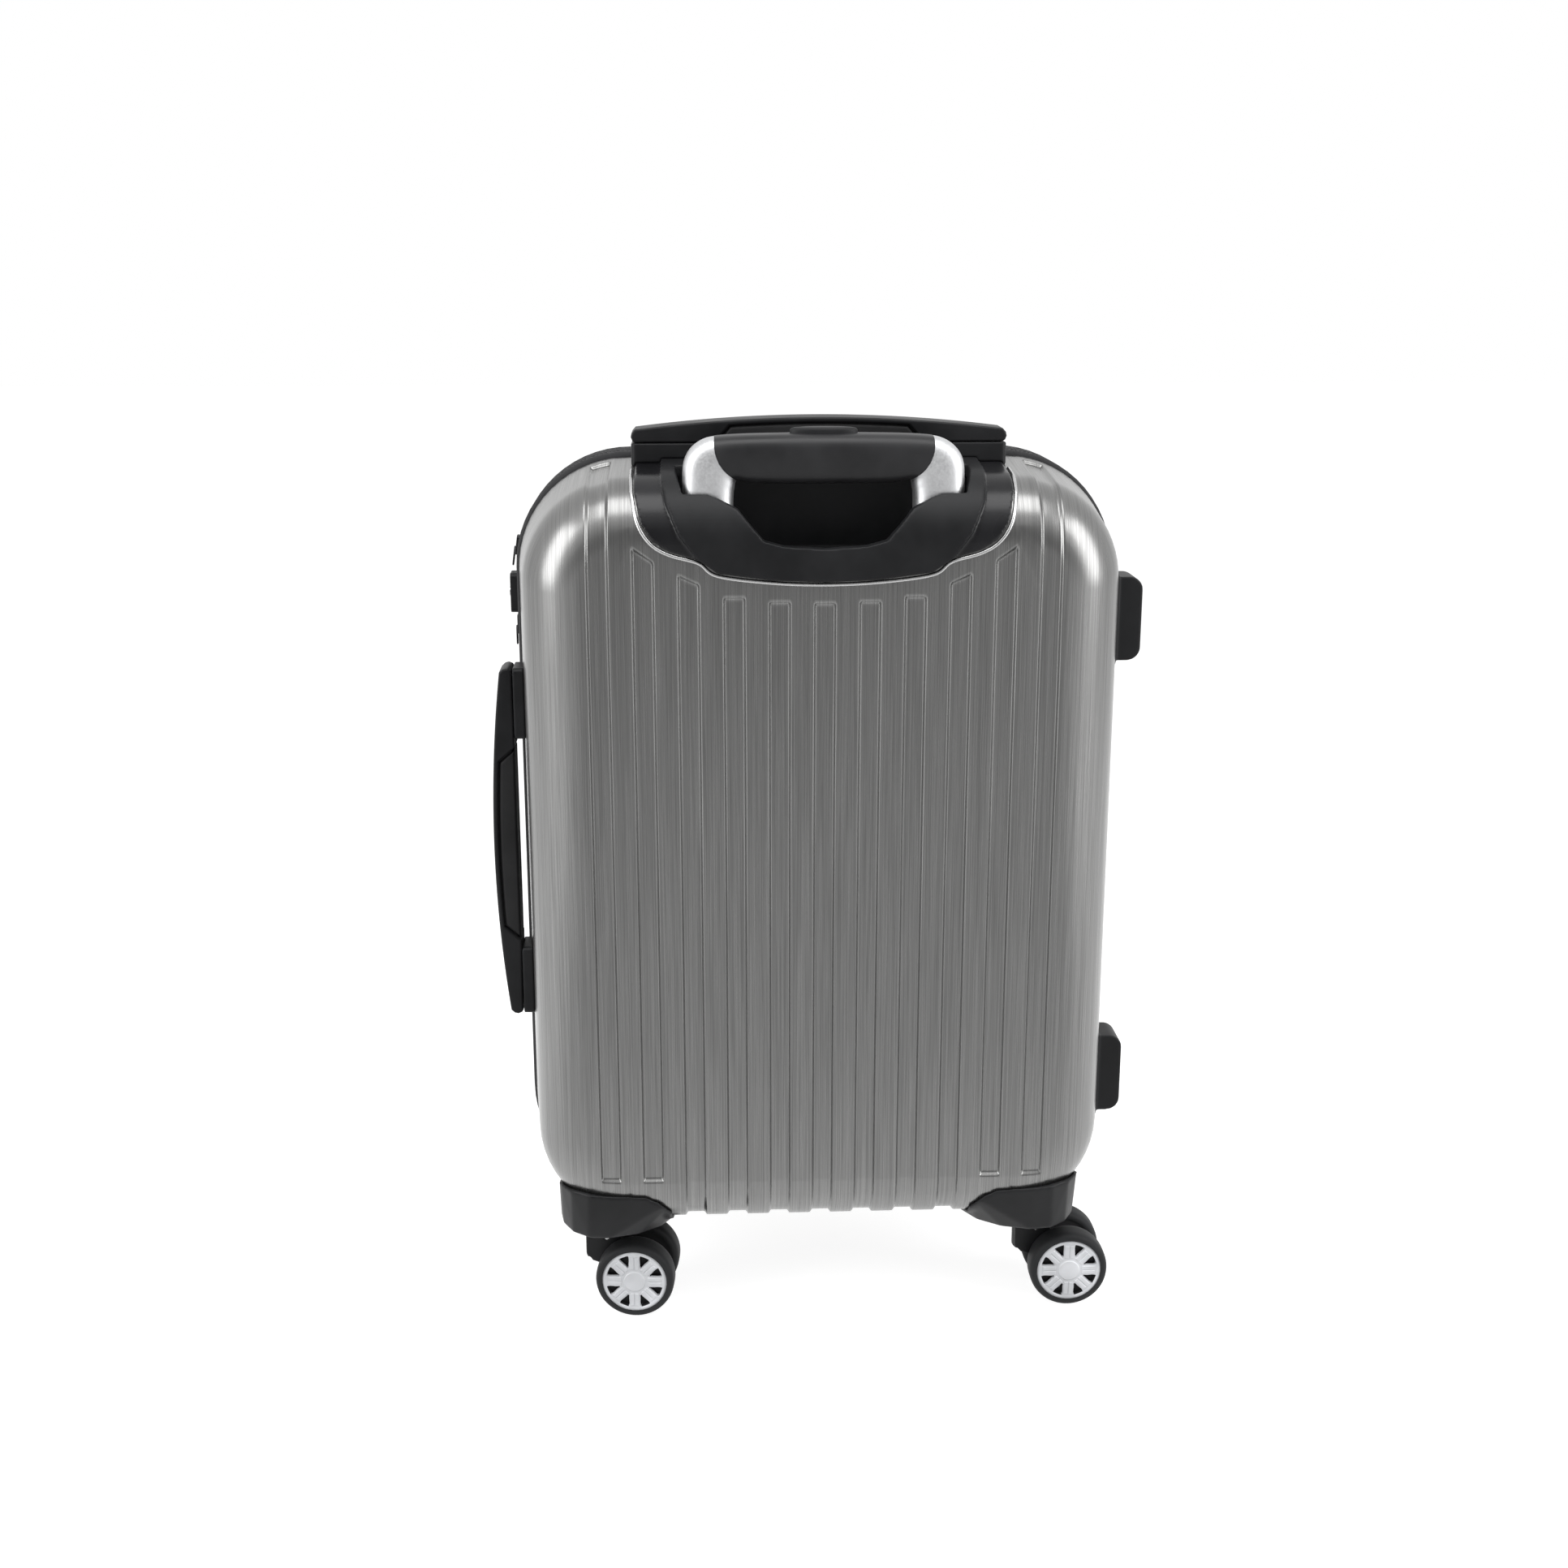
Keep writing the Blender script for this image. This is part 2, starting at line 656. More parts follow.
def gussetProfile():
    line = [(gusset["sewn"], gusset["from"])]
    count = gusset["legs"] * gusset["steps"]
    for i in range(count + 1):
        sink = (1 - math.cos(i / gusset["steps"] * math.pi)) / 2
        y = gusset["from"] + (gusset["to"] - gusset["from"]) * (i + 1) / (count + 2)
        line.append((gusset["outer"] - gusset["fold"] * sink, y))
    line.append((gusset["sewn"], gusset["to"]))
    return line + [(r - gusset["thick"], y) for r, y in reversed(line)]


folded = sweepRing("expansionGusset", gussetProfile())
folded.data.materials.append(gussetFabric)
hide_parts("expansion_gusset")
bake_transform(folded)
cloth(folded)

# The hinge of the lid is a strip of the same nylon, from band to band.
hinge = {"x": 174.6, "from": 5.0, "to": 17.0, "low": 140, "high": 446, "thick": 0.7, "rows": 60, "cols": 10}


def hingeStrip():
    rows, cols = hinge["rows"], hinge["cols"]
    points, faces = [], []
    for layer in (0, 1):
        for i in range(rows + 1):
            z = hinge["low"] + (hinge["high"] - hinge["low"]) * i / rows
            for j in range(cols + 1):
                t = j / cols
                sag = 0.35 * math.sin(z * 0.35 + t * 5) - 1.5
                points.append((hinge["x"] - layer * hinge["thick"] + sag * math.sin(math.pi * t),
                               hinge["from"] + (hinge["to"] - hinge["from"]) * t, z))
    size = (rows + 1) * (cols + 1)
    for i in range(rows):
        for j in range(cols):
            a = i * (cols + 1) + j
            face = (a, a + 1, a + cols + 2, a + cols + 1)
            faces += [face, tuple(size + v for v in reversed(face))]
    rim = list(range(cols + 1)) + [i * (cols + 1) + cols for i in range(1, rows + 1)]
    rim += [size - 1 - v for v in rim[1:-1]]
    for a, b in zip(rim, rim[1:] + rim[:1]):
        faces.append((a, size + a, size + b, b))
    return newObject("hingeFabric", points, faces)


strip = hingeStrip()
strip.data.materials.append(gussetFabric)
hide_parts("hinge_fabric")
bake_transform(strip)
cloth(strip)
print("bands and zips ready")


# Thick plate over a closed outline, its long edges rounded by `soft`.
def roundedSlab(outline, halfDepth, soft, steps=5):
    n = len(outline)
    around = list(zip(outline, outline[1:] + outline[:1]))
    sign = math.copysign(1, sum(a[0] * b[1] - b[0] * a[1] for a, b in around))
    inward = []
    for i in range(n):
        a, b, c = Vector(outline[i - 1]), Vector(outline[i]), Vector(outline[(i + 1) % n])
        before, after = (b - a).normalized().orthogonal(), (c - b).normalized().orthogonal()
        between = (before + after).normalized()
        inward.append(between * sign / max(0.5, between.dot(before)))
    layers = []
    for k in range(steps, -1, -1):
        a = math.pi / 2 * k / steps
        layers.append((-(halfDepth - soft + soft * math.sin(a)), soft * (1 - math.cos(a))))
    layers += [(-y, inset) for y, inset in reversed(layers)]
    points = []
    for y, inset in layers:
        points += [(p[0] + q.x * inset, y, p[1] + q.y * inset) for p, q in zip(outline, inward)]
    return points, tubeFaces(len(layers), n)


carry = {"half": 108.5, "height": 15.0, "end": 8.0, "depth": 12.0, "insertHalf": 60, "rim": 3.0,
         "pinAt": 98.5, "pin": 3.0, "y": -40, "topZ": 526, "topGap": 11.5, "sideX": -177, "sideZ": 296.7,
         "sideGap": 5.2}


def archTop(u):
    return carry["end"] + (carry["height"] - carry["end"]) * (1 - (u / carry["half"]) ** 2)


# Points of the arch from `start` to -start, `drop` under its top.
def archLine(start, count, drop):
    return [(start * i / count, archTop(start * i / count) - drop) for i in range(count, -count - 1, -1)]


def handleOutline():
    end, insert = carry["half"], carry["insertHalf"]
    tip = [(end - 2.2, 0.9), (end - 0.9, 1.8), (end, 4), (end - 0.5, 6.2)]
    over = [(-u, v) for u, v in archLine(end - 2.4, 30, 0)]
    under = archLine(52, 14, carry["rim"])
    return ([(-u, v) for u, v in tip] + over + list(reversed(tip)) + [(84, 0.8), (insert + 0.4, 0.6)] + under
            + [(-insert - 0.4, 0.6), (-84, 0.8)])


def coreOutline():
    return [(80, 2.2), *archLine(80, 14, 1.6), (-80, 2.2)]


def insertOutline():
    half = carry["insertHalf"] - 0.8
    return [(half, 0.7), *archLine(51.4, 14, carry["rim"] + 0.35), (-half, 0.7)]


def addPart(points, faces, morePoints, moreFaces):
    faces += [tuple(len(points) + v for v in face) for face in moreFaces]
    points += morePoints


def roundBar(x, low, high, radius, sides=24):
    points = []
    for z in (low, high):
        points += [(x + radius * math.cos(a), radius * math.sin(a), z)
                   for a in (2 * math.pi * i / sides for i in range(sides))]
    return points, tubeFaces(2, sides)


# A handle with its joint lines, its pins and its soft insert.
def carryHandle(name, standoff, toWorld, body, nodes):
    points, faces = roundedSlab(handleOutline(), carry["depth"], 1.3)
    addPart(points, faces, *roundedSlab(coreOutline(), carry["depth"] - 3, 0.8))
    low = -standoff - 18
    for s in (-1, 1):
        addPart(points, faces, *roundBar(s * carry["pinAt"], low, 2, carry["pin"]))
        addPart(points, faces, *roundBar(s * carry["pinAt"], low, low + 2, carry["pin"] + 2))
    shell = newObject(name, [toWorld(x, y, z + standoff) for x, y, z in points], faces)
    turnOut(shell, 40)
    place(shell, body, mattePlastic, [nodes[0]])
    points, faces = roundedSlab(insertOutline(), carry["depth"] - 0.9, 2.4)
    soft = newObject(name + "Insert", [toWorld(x, y, z + standoff) for x, y, z in points], faces)
    turnOut(soft, 40)
    place(soft, body, insertGrip, [nodes[1]])


rise = (-carry["y"] - case["bandHalf"]) * math.tan(case["draft"])
carryHandle("topHandle", carry["topGap"], lambda x, y, z: (x, y + carry["y"], carry["topZ"] - rise + z),
            "top_carry", ("top_handle", "top_handle_insert"))
carryHandle("sideHandle", carry["sideGap"],
            lambda x, y, z: (carry["sideX"] + rise - z, y + carry["y"], carry["sideZ"] + x),
            "side_carry", ("side_handle", "side_handle_insert"))
print("carry handles ready")


# Each station is the inner end, the outer end and the bow of one cut through the grip.
grip = {"y": -88, "depth": 12.6, "joint": 4, "round": 3.2, "gap": 0.012, "steps": 40,
        "stations": [((0, 517.5), (0, 545), 0), ((14, 517.5), (14, 545), 0), ((28, 517.6), (30, 544.8), 0.6),
                     ((40, 518.2), (47, 544.4), 2.6), ((48.1, 519.6), (61, 543.4), 4.6),
                     ((49.9, 514.5), (68.4, 541.3), 4.2), ((50.5, 509.5), (74.4, 536.8), 2.6),
                     ((50.6, 504), (77.9, 530.6), 1.2), ((50.6, 498), (79, 522.5), 0.3),
                     ((50.6, 491), (79, 508), 0), ((50.6, 486.7), (79, 486.7), 0)]}


def gripStation(t):
    stations = [[*inner, *outer, bow] for inner, outer, bow in grip["stations"]]
    i = min(len(stations) - 2, int(t))
    before, after = stations[max(0, i - 1)], stations[min(len(stations) - 1, i + 2)]
    if i == 0:
        x0, z0, x1, z1, bow = stations[1]
        before = [-x0, z0, -x1, z1, bow]
    x0, z0, x1, z1, bow = [throughPoints(a, b, c, d, t - i)
                           for a, b, c, d in zip(before, stations[i], stations[i + 1], after)]
    return Vector((x0, z0)), Vector((x1, z1)), bow


def gripSection(t, grow, sides=40):
    inner, outer, bow = gripStation(abs(t))
    along = (outer - inner).normalized()
    across = Vector((along.y, -along.x))
    ring = []
    for i in range(sides):
        a = 2 * math.pi * i / sides
        v, w = [math.copysign(abs(c) ** (2 / grip["round"]), c) for c in (math.sin(a), math.cos(a))]
        p = inner.lerp(outer, (v + 1) / 2) + across * bow * (1 - v * v) + along * v * grow
        ring.append((math.copysign(p.x, t) if t else p.x, grip["y"] + w * (grip["depth"] + grow), p.y))
    return ring


def gripPiece(name, start, end, grow, body, material, nodes):
    points = []
    rings = grip["steps"] * (2 if start < 0 < end else 1) + 1
    for i in range(rings):
        points += gripSection(start + (end - start) * i / (rings - 1), grow)
    piece = newObject(name, points, tubeFaces(rings, len(points) // rings))
    turnOut(piece, 50)
    return place(piece, body, material, nodes)


joint, gap, last = grip["joint"], grip["gap"], len(grip["stations"]) - 1
gripPiece("gripCover", gap - joint, joint - gap, 0.25, "trolley_top", softGrip, ["grip_cover"])
gripPiece("gripCornerRight", joint + gap, last, 0, "trolley_top", satinSilver,
          ["grip_corners"])
gripPiece("gripCornerLeft", -joint - gap, -last, 0, "trolley_top", satinSilver, ())

# Release button: an oval, its top rounded by rings of (share of the width, height).
button = {"half": 19, "side": 6, "y": -88, "flat": 1.15, "sides": 48,
          "rings": [(1.0, 538.4), (1.0, 546.4), (0.985, 547.2), (0.94, 547.8), (0.86, 548.2), (0.6, 548.5),
                    (0.2, 548.6)]}
points = []
for grow, z in button["rings"]:
    for i in range(button["sides"]):
        a = 2 * math.pi * i / button["sides"]
        side = math.copysign(abs(math.sin(a)) ** button["flat"], math.sin(a))
        points.append((button["half"] * math.cos(a) * grow, button["y"] + button["side"] * side * grow, z))
push = newObject("releaseButton", points, tubeFaces(len(button["rings"]), button["sides"]))
turnOut(push, 40)
place(push, "button", mattePlastic, ["release_button"])
print("trolley grip ready")


# Bright bead round the trolley housing.
bead = {"radius": 1.15, "lift": 0.35, "upTo": 62, "sides": 10,
        "outline": [(0, 463.4), (30, 464.6), (60, 468.6), (70.6, 475.8), (86.6, 480.4), (97, 486.6),
                    (104, 497.4), (107.4, 513)]}


def beadPath():
    half = bead["outline"]
    line = []
    for i in range(len(half) - 1):
        before = half[i - 1] if i else (-half[1][0], half[1][1])
        after = half[min(len(half) - 1, i + 2)]
        for k in range(8):
            line.append(tuple(throughPoints(before[m], half[i][m], half[i + 1][m], after[m], k / 8)
                              for m in (0, 1)))
    x, r = half[-1][0], half[-1][1] - case["highZ"]
    end = wallAt(bead["upTo"])
    while r < end:
        line.append((x + 0.6 * smooth(513, 524, case["highZ"] + r), case["highZ"] + r))
        r += 0.25 + 1.4 * smooth(end, end - 12, r)
    full = [(-a, b) for a, b in reversed(line[1:])] + line
    return [shellPoint(a, b, -bead["lift"]) for a, b in full]


path = beadPath()
points = []
for i, p in enumerate(path):
    a, b = Vector(path[max(0, i - 1)]), Vector(path[min(len(path) - 1, i + 1)])
    way = (b - a).normalized()
    out = Vector(shellPoint(p[0], p[2], -1)) - Vector(shellPoint(p[0], p[2], 0))
    side = way.cross(out).normalized()
    up = side.cross(way).normalized()
    for k in range(bead["sides"]):
        w = 2 * math.pi * k / bead["sides"]
        points.append(tuple(Vector(p) + (side * math.cos(w) + up * math.sin(w)) * bead["radius"]))
beadPiece = newObject("housingBead", points, tubeFaces(len(path), bead["sides"]))
turnOut(beadPiece, 60)
place(beadPiece, "rear_case", brightSteel)
print("bead ready")


wheel = {"sides": 96, "spokes": 8, "axle": 3.08, "hub": 20.1, "hubBack": -7.0, "boreEnd": 3.0,
         "face": 7.55, "boss": 8.05, "floor": 3.6, "padHalf": 1.25, "padRise": 0.35, "padSlope": 0.25,
         "window": 0.55, "windowGrow": 2.5}
tread = [(20.15, 7.9), (21.2, 8.0), (22.3, 7.8), (23.3, 7.2), (24.0, 6.1), (24.4, 4.6), (24.5, 2.6)]
tyreProfile = [(r, -z) for r, z in tread] + list(reversed(tread))


# Turns a closed profile of (radius, height) round the axle.
def latheRings(profile, sides):
    points = []
    for i in range(sides):
        a = 2 * math.pi * i / sides
        points += [(r * math.cos(a), r * math.sin(a), z) for r, z in profile]
    return points, hoopFaces(sides, len(profile))


# Height of the hub's face at radius r; `across` is 1 at a window's edge and less inside it.
def hubHeight(r, across):
    z = wheel["boss"] + (wheel["face"] - wheel["boss"]) * (smooth(6.1, 6.9, r) if r >= 6.3 else 0)
    depth = smooth(1.06, 0.94, across) * smooth(9.9, 10.8, r) * smooth(17.8, 17.2, r)
    return z - 0.5 * smooth(19.0, 20.1, r) - (wheel["face"] - wheel["floor"]) * depth


# Outer face of the hub: a polar grid whose lines follow the windows, then its rim, back and bore.
def hubFace():
    rs = [3.2, 5.6, 6.2, 6.5, 6.8, 7.4, 9.0, 9.9, 10.3, 10.8, 12.2, 13.8, 15.4, 16.8, 17.3, 17.7, 18.2, 19.2,
          19.9, wheel["hub"]]
    fs = [0, 0.5, 0.82, 0.94, 1.0, 1.06, 1.2]
    sector = math.pi / wheel["spokes"]
    points, faces, cols = [], [], []
    for s in range(wheel["spokes"]):
        middle = 2 * sector * (s + 0.5)
        cols += [(middle, -f) for f in reversed(fs[1:])]
        cols += [(middle, f) for f in fs + [9, 10]]
    for middle, f in cols:
        for r in rs:
            window = (wheel["window"] + wheel["windowGrow"] * smooth(9.5, 17.5, r)) / r
            a = middle + f * window
            if f >= 9:   # the two lines on the spoke beside the window
                a = middle + 1.2 * window + (2 * sector - 2.4 * window) * (f - 8) / 3
            points.append((r * math.cos(a), r * math.sin(a), hubHeight(r, abs(f))))
    n, m = len(rs), len(cols)
    for i in range(m):
        a, b = i * n, (i + 1) % m * n
        for j in range(n - 1):
            faces.append((a + j, a + j + 1, b + j + 1, b + j))
    centre = len(points)
    points.append((0, 0, wheel["boss"]))
    faces += [(centre, i * n, (i + 1) % m * n) for i in range(m)]
    rim = [i * n + n - 1 for i in range(m)]
    around = [points[v] for v in rim]
    bore = wheel["axle"] / wheel["hub"]
    back = [len(points) + i for i in range(m)]
    points += [(x, y, wheel["hubBack"]) for x, y, z in around]
    inner = [v + m for v in back]
    points += [(x * bore, y * bore, wheel["hubBack"]) for x, y, z in around]
    deep = [v + m for v in inner]
    points += [(x * bore, y * bore, wheel["boreEnd"]) for x, y, z in around]
    for i in range(m):
        j = (i + 1) % m
        for ring, following in ((rim, back), (back, inner), (inner, deep)):
            faces.append((ring[i], following[i], following[j], ring[j]))
    faces.append(tuple(deep))
    spokePads(points, faces)
    return points, faces


# Two raised pads on each spoke.
def spokePads(points, faces):
    face, half, slope = wheel["face"], wheel["padHalf"], wheel["padSlope"]
    for s in range(wheel["spokes"]):
        c, d = math.cos(2 * math.pi * s / wheel["spokes"]), math.sin(2 * math.pi * s / wheel["spokes"])
        for shift in (-1.55, 1.55):
            faces += blockFaces(len(points))
            for grow, z in ((0, face - 0.3), (0, face + 0.1), (slope, face + wheel["padRise"])):
                near, far = 8.2 + grow, 16.6 - grow
                for r, w in ((near, -1), (far, -1), (far, 1), (near, 1)):
                    t = shift + w * (half - grow)
                    points.append((r * c - t * d, r * d + t * c, z))


# Each wheel is built on its spin axis.
for spin in frame["joints"]:
    if not spin["name"].startswith("spin_"):
        continue
    tag = spin["name"][5:]
    low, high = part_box("tyre_" + tag)
    centre = (low + high) / 2
    out = Vector(spin["axis"]) * (-1 if tag.endswith("a") else 1)
    up = Vector((0, 0, 1))
    side = up.cross(out).normalized()

    def toWheel(p):
        return tuple(centre / mm + side * p[0] + up * p[1] + out * p[2])

    points, faces = latheRings(tyreProfile, wheel["sides"])
    tyre = newObject("tyre_" + tag + "_shape", [toWheel(p) for p in points], faces)
    turnOut(tyre, 50)
    place(tyre, spin["child"], tyreRubber, ["tyre_" + tag])
    points, faces = hubFace()
    hub = newObject("hub_" + tag + "_shape", [toWheel(p) for p in points], faces)
    turnOut(hub, 35)
    place(hub, spin["child"], hubPlastic, ["hub_" + tag])
    hub.data.materials.append(windowDark)
    for face in hub.data.polygons:
        offset = (Vector(face.center) - centre) / mm
        depth = offset.dot(out)
        inWindow = depth < 5.9 and 9 < (offset - out * depth).length < 18.5
        if inWindow or depth < 2:
            face.material_index = 1
print("wheels ready")


# Cloth over the floor of a shell and up its wall: `rows` rings over the rounded edge, then `inner` ones.
lining = {"inset": 5.9, "thick": 0.7, "around": 260, "rows": 16, "inner": 14, "last": 6.0, "ripple": 0.35,
          "tubesX": 95, "tubesZ": 466, "overTubes": 65.8, "length": 0.62}


def liningPiece(name, mirrored, body, node, rimDepth, floorDepth):
    around, last = lining["around"], lining["last"]
    start = wallAt(rimDepth) - 0.2
    rings = [(start + (last - start) * i / lining["rows"], 1) for i in range(lining["rows"] + 1)]
    rings += [(last, 1 - i / lining["inner"]) for i in range(1, lining["inner"])]
    points = []
    for r, share in rings:
        for i in range(around):
            x, z, nx, nz = ringAt(ringLength(40) * i / around, 40)
            px, pz = (x + nx * (r - 40)) * share, caseMidZ + (z + nz * (r - 40) - caseMidZ) * share
            q = shellPoint(px, pz, lining["inset"])
            depth = min(-q[1], floorDepth)
            if not mirrored and abs(px) < lining["tubesX"] and pz > lining["tubesZ"]:
                step = smooth(88.5, lining["tubesX"], abs(px)) + smooth(473, lining["tubesZ"], pz)
                depth = min(depth, lining["overTubes"] + 12 * step)
            wave = math.sin(px * 0.09 + 1.3 * math.sin(pz * 0.05)) * math.sin(pz * 0.07 + 0.8)
            ripple = lining["ripple"] * wave * (smooth(0, 12, start - (r if share == 1 else 0)) + 0.2)
            points.append((q[0], -(depth - abs(ripple)) * (-1 if mirrored else 1), q[2]))
    faces = tubeFaces(len(rings), around)[:-2]
    faces = [face if mirrored else tuple(reversed(face)) for face in faces]
    middle = tuple((len(rings) - 1) * around + i for i in range(around))
    faces.append(tuple(reversed(middle)) if mirrored else middle)
    piece = newObject(name, points, faces)
    thick = piece.modifiers.new("thick", "SOLIDIFY")
    thick.thickness = lining["thick"] * mm
    thick.offset = 0
    applyModifiers(piece)
    turnOut(piece, 60)
    place(piece, body, liningFabric, [node])
    return cloth(piece)


liningPiece("rearLining", False, "rear_case", "rear_lining", 60.5, 75.4)
liningPiece("frontLining", True, "front_case", "front_lining", 25.5, 120)
print("linings ready")


# Two webbing straps that cross under the buckle, from wall to wall, each with a stitched box near its ends.
strap = {"angle": 50, "width": 25, "thick": 1.2, "along": 110, "across": 12, "stitch": 4.2, "bow": 1.2,
         "under": 1.4, "thread": 0.35}


# How far a strap runs from its middle to the wall, at v across its width.
def strapReach(solid, lean, middle, v, side):
    spots = []
    for vertex in solid.data.vertices:
        x, z = vertex.co.x / mm, vertex.co.z / mm - middle.z
        u, w = x * math.cos(lean) + z * math.sin(lean), z * math.cos(lean) - x * math.sin(lean)
        if u * side > 120 and abs(w) < strap["width"] / 2 + 0.1:
            spots.append((w, abs(u)))
    spots.sort()
    for (w0, u0), (w1, u1) in zip(spots, spots[1:]):
        if w0 <= v <= w1 and w1 > w0:
            return u0 + (u1 - u0) * (v - w0) / (w1 - w0)
    return spots[0][1] if v < spots[0][0] else spots[-1][1]


# A row of raised stitches from a to b.
def stitchRow(mesh, a, b):
    count = max(1, round((b - a).length / strap["stitch"]))
    turn = (b - a).to_track_quat("X", "Y").to_matrix().to_4x4()
    size = Matrix.Diagonal(((b - a).length * 0.35 / count, strap["thread"], strap["thread"], 1))
    for i in range(count):
        spot = Matrix.Translation(a.lerp(b, (i + 0.5) / count) * mm) @ turn @ size
        bmesh.ops.create_icosphere(mesh, subdivisions=2, radius=mm, matrix=spot)


def stitchBoxes(piece, ends):
    mesh = bmesh.new()
    mesh.from_mesh(piece.data)
    half, lift = strap["width"] / 2 - 3, strap["thick"] / 2 + 0.02
    for side, end in zip((-1, 1), ends):
        near, far = side * (end - 24), side * (end - 24 + 2 * half)
        box = [(near, -half), (far, -half), (far, half), (near, half), (near, -half), (far, half)]
        spots = [Vector((u, lift, v)) for u, v in box]
        for a, b in zip(spots, spots[1:]):
            stitchRow(mesh, a, b)
        stitchRow(mesh, spots[3], spots[1])
    mesh.to_mesh(piece.data)
    mesh.free()


def strapPiece(name, lean, under):
    low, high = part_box("compression_straps")
    middle = (low + high) / 2 / mm
    middle.x = 0
    points, faces = [], []
    for i in range(strap["across"] + 1):
        v = strap["width"] * (i / strap["across"] - 0.5)
        ends = [strapReach(frame["nodes"]["compression_straps"], lean, middle, v * 0.98, side) - 0.6
                for side in (-1, 1)]
        for k in range(strap["along"] + 1):
            t = k / strap["along"]
            u = -ends[0] + (ends[0] + ends[1]) * t
            bow = strap["bow"] * math.sin(math.pi * abs(2 * t - 1)) ** 2
            points.append((u, bow - under * smooth(60, 20, abs(u)), v))
    row = strap["along"] + 1
    for i in range(strap["across"]):
        for k in range(strap["along"]):
            a = i * row + k
            faces.append((a, a + 1, a + row + 1, a + row))
    piece = newObject(name, points, faces)
    thick = piece.modifiers.new("thick", "SOLIDIFY")
    thick.thickness = strap["thick"] * mm
    thick.offset = 0
    ease = piece.modifiers.new("ease", "BEVEL")
    ease.width = 0.3 * mm
    ease.segments = 2
    ease.limit_method = "ANGLE"
    applyModifiers(piece)
    stitchBoxes(piece, ends)
    piece.matrix_world = Matrix.Translation(middle * mm) @ Matrix.Rotation(-lean, 4, "Y")
    place(piece, "rear_case", webbingFabric, ["compression_straps"])
    return cloth(piece)


strapPiece("strapRising", math.radians(strap["angle"]), 0)
strapPiece("strapFalling", -math.radians(strap["angle"]), strap["under"])
print("straps ready")


# A moulded piece: the solid's own form with soft edges.
def mould(node, name, voxel, rounds, material, keep):
    piece = bpy.data.objects.new(name, frame["nodes"][node].data.copy())
    scene.collection.objects.link(piece)
    piece.data.materials.clear()
    skin = piece.modifiers.new("skin", "REMESH")
    skin.mode = "VOXEL"
    skin.voxel_size = voxel * mm
    ease = piece.modifiers.new("ease", "SMOOTH")
    ease.factor = 0.5
    ease.iterations = rounds
    fewer = piece.modifiers.new("fewer", "DECIMATE")
    fewer.ratio = keep
    applyModifiers(piece)
    piece.data.shade_smooth()
    return place(piece, bodyOf(node), material, [node])


# Name of the piece, fineness in millimetres, rounds of smoothing, finish and share of the faces kept.
moulded = {
    "trolley_housing": ("trolleyHousing", 0.8, 5, mattePlastic, 0.5),
    "rear_wheel_housings": ("rearWheelHousings", 0.9, 16, mattePlastic, 0.5),
    "front_wheel_housings": ("frontWheelHousings", 0.9, 16, mattePlastic, 0.5),
    "side_feet_rear": ("sideFeetRear", 0.7, 6, mattePlastic, 0.5),
    "side_feet_front": ("sideFeetFront", 0.7, 6, mattePlastic, 0.5),
    "handle_bases": ("handleBases", 0.6, 4, mattePlastic, 0.6),
    "lock_body": ("lockBody", 0.25, 2, mattePlastic, 0.4),
    "trolley_base": ("trolleyBase", 1.2, 2, mattePlastic, 0.5),
    "tube_guides": ("tubeGuides", 0.5, 2, mattePlastic, 0.6),
    "strap_buckle": ("strapBuckle", 0.6, 6, mattePlastic, 0.6),
    "zip_slider_lower": ("zipSliderLower", 0.25, 3, darkMetal, 0.7),
    "zip_slider_upper": ("zipSliderUpper", 0.25, 3, darkMetal, 0.7),
    "expansion_slider": ("expansionSlider", 0.25, 3, darkMetal, 0.7),
}
for corner in ("rear_left", "rear_right", "front_left", "front_right"):
    moulded["fork_" + corner] = ("fork_" + corner + "_shape", 0.5, 4, mattePlastic, 0.6)
for node, (name, voxel, rounds, material, keep) in moulded.items():
    mould(node, name, voxel, rounds, material, keep)

# The housing's flange is glossy; above this line its raised part is matte.
raisedEdge = [(0, 465.0), (30, 466.2), (60, 470.2), (71, 477.6), (81.7, 492), (88.6, 508), (91.6, 523),
              (92.4, 560)]
housing = bpy.data.objects["trolleyHousing"]
housing.data.materials.append(glossPlastic)
for face in housing.data.polygons:
    a, z = abs(face.center.x) / mm, face.center.z / mm
    face.material_index = 1
    for (x0, low), (x1, high) in zip(raisedEdge, raisedEdge[1:]):
        if x0 <= a < x1 and z > low + (high - low) * (a - x0) / (x1 - x0):
            face.material_index = 0
print("moulded pieces ready")


# Tubes, pins and the lock's button keep their solids and get their metal.
plain = {"outer_tubes": tubeAluminium, "middle_tubes": tubeAluminium, "upper_tubes": tubeAluminium,
         "lock_button": brightSteel}
for node, solid in frame["nodes"].items():
    material = plain.get(node)
    if node.startswith("pins_"):
        material = brightSteel
    if material:
        solid.data.materials.clear()
        solid.data.materials.append(material)
print("solids dressed")


# 1 for the rays that show the backdrop itself, in the camera and in mirrors.
def seenRays(tree):
    path = put(tree, "ShaderNodeLightPath").outputs
    seen = calc(tree, "MAXIMUM", path["Is Camera Ray"], path["Is Glossy Ray"])
    return calc(tree, "MAXIMUM", seen, path["Is Transmission Ray"])


# The backdrop is white; mirrors facing the open side of the studio see its dimmer room.
def dimmedRoom(tree, seen, towards, across):
    room = calc(tree, "MAXIMUM", towards, across)
    camera = put(tree, "ShaderNodeLightPath").outputs["Is Camera Ray"]
    return calc(tree, "MULTIPLY", seen, calc(tree, "MAXIMUM", camera, room))


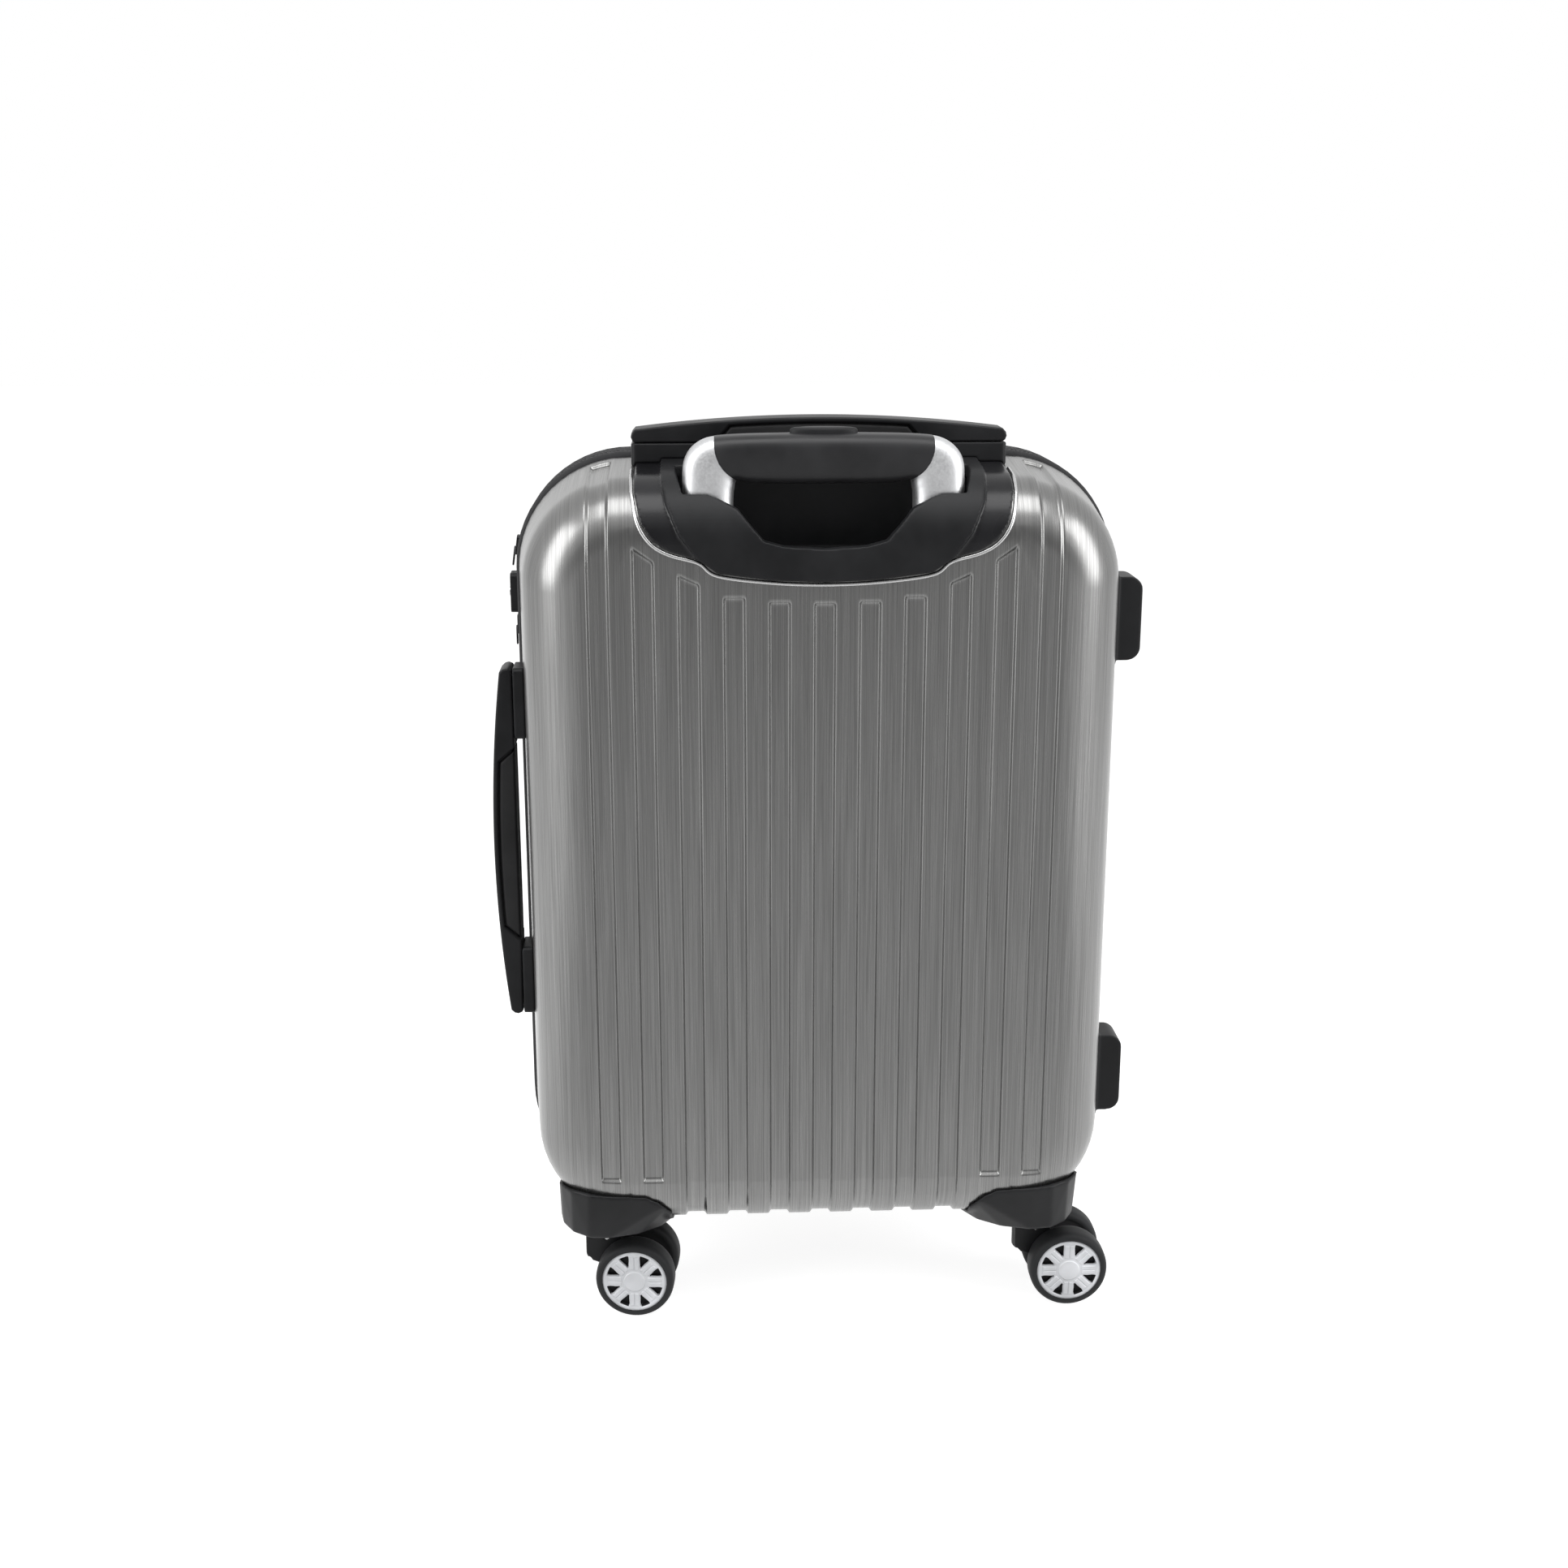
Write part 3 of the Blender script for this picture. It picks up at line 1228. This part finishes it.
# Lamps in watts; `room` is how bright mirrors see the open side, from `floorNear` to `floorFar` metres away.
studio = {"floorTone": 0.5, "floorGlow": 0.86, "air": 0.36, "left": 23, "right": 23, "top": 22,
          "room": 0.29, "floorNear": 0.12, "floorFar": 0.5, "reach": (0.4, 0.9), "floorSize": 9000}

wide = studio["floorSize"]
floor = newObject("floor", [(-wide, -wide, 0), (wide, -wide, 0), (wide, wide, 0), (-wide, wide, 0)],
                  [(0, 1, 2, 3)], shade=False)
floorMaterial = bpy.data.materials.new("paleFloor")
floorMaterial.use_nodes = True
tree = floorMaterial.node_tree
where = axesOf(tree, coordinates(tree, "Object"))
towards = ramp(tree, where[1], -studio["floorFar"], -studio["floorNear"], studio["room"], 1)
across = ramp(tree, calc(tree, "ABSOLUTE", where[0]), *studio["reach"], 0, 1)
shown = dimmedRoom(tree, seenRays(tree), towards, across)
tree.nodes.remove(tree.nodes["Principled BSDF"])
paper = put(tree, "ShaderNodeBsdfDiffuse", {"Color": (studio["floorTone"],) * 3 + (1,)})
glow = put(tree, "ShaderNodeEmission", {"Color": (1, 1, 1, 1),
                                        "Strength": calc(tree, "MULTIPLY", shown, studio["floorGlow"])})
both = put(tree, "ShaderNodeAddShader", {0: paper.outputs[0], 1: glow.outputs[0]})
tree.links.new(both.outputs[0], tree.nodes["Material Output"].inputs["Surface"])
floor.data.materials.append(floorMaterial)

world = bpy.data.worlds.new("studioAir")
scene.world = world
world.use_nodes = True
tree = world.node_tree
where = axesOf(tree, coordinates(tree, "Generated"))
seen = seenRays(tree)
towards = ramp(tree, where[1], -0.9, -0.6, studio["room"], 1)
shown = dimmedRoom(tree, seen, towards, ramp(tree, where[2], 0.35, 0.6, 0, 1))
strength = calc(tree, "MULTIPLY_ADD", calc(tree, "SUBTRACT", 1.0, seen), studio["air"], shown)
background = tree.nodes["Background"]
background.inputs["Color"].default_value = (1, 1, 1, 1)
tree.links.new(strength, background.inputs["Strength"])


def softbox(name, spot, target, size, power):
    light = bpy.data.lights.new(name, "AREA")
    light.shape = "RECTANGLE"
    light.size, light.size_y = size
    light.energy = power
    lamp = bpy.data.objects.new(name, light)
    scene.collection.objects.link(lamp)
    lamp.location = spot
    lamp.rotation_euler = (Vector(target) - Vector(spot)).to_track_quat("-Z", "Y").to_euler()


softbox("topLight", (0, -0.6, 2.0), (0, 0, 0.3), (1.8, 0.9), studio["top"])
softbox("leftLight", (-1.7, -0.8, 1.0), (0, 0, 0.35), (0.9, 1.5), studio["left"])
softbox("rightLight", (1.7, -0.8, 1.0), (0, 0, 0.35), (0.9, 1.5), studio["right"])

view = {"place": (-0.0725, -1.2016, 0.6415), "pitch": math.radians(15), "turn": math.radians(-2.59),
        "lens": 45.45}
camera = bpy.data.objects.new("camera", bpy.data.cameras.new("camera"))
scene.collection.objects.link(camera)
scene.camera = camera
camera.data.lens = view["lens"]
camera.data.sensor_width = 36
camera.location = view["place"]
aim = Vector((-math.sin(view["turn"]) * math.cos(view["pitch"]),
              math.cos(view["turn"]) * math.cos(view["pitch"]), -math.sin(view["pitch"])))
camera.rotation_euler = aim.to_track_quat("-Z", "Y").to_euler()
scene.view_settings.view_transform = "Standard"
print("studio ready")
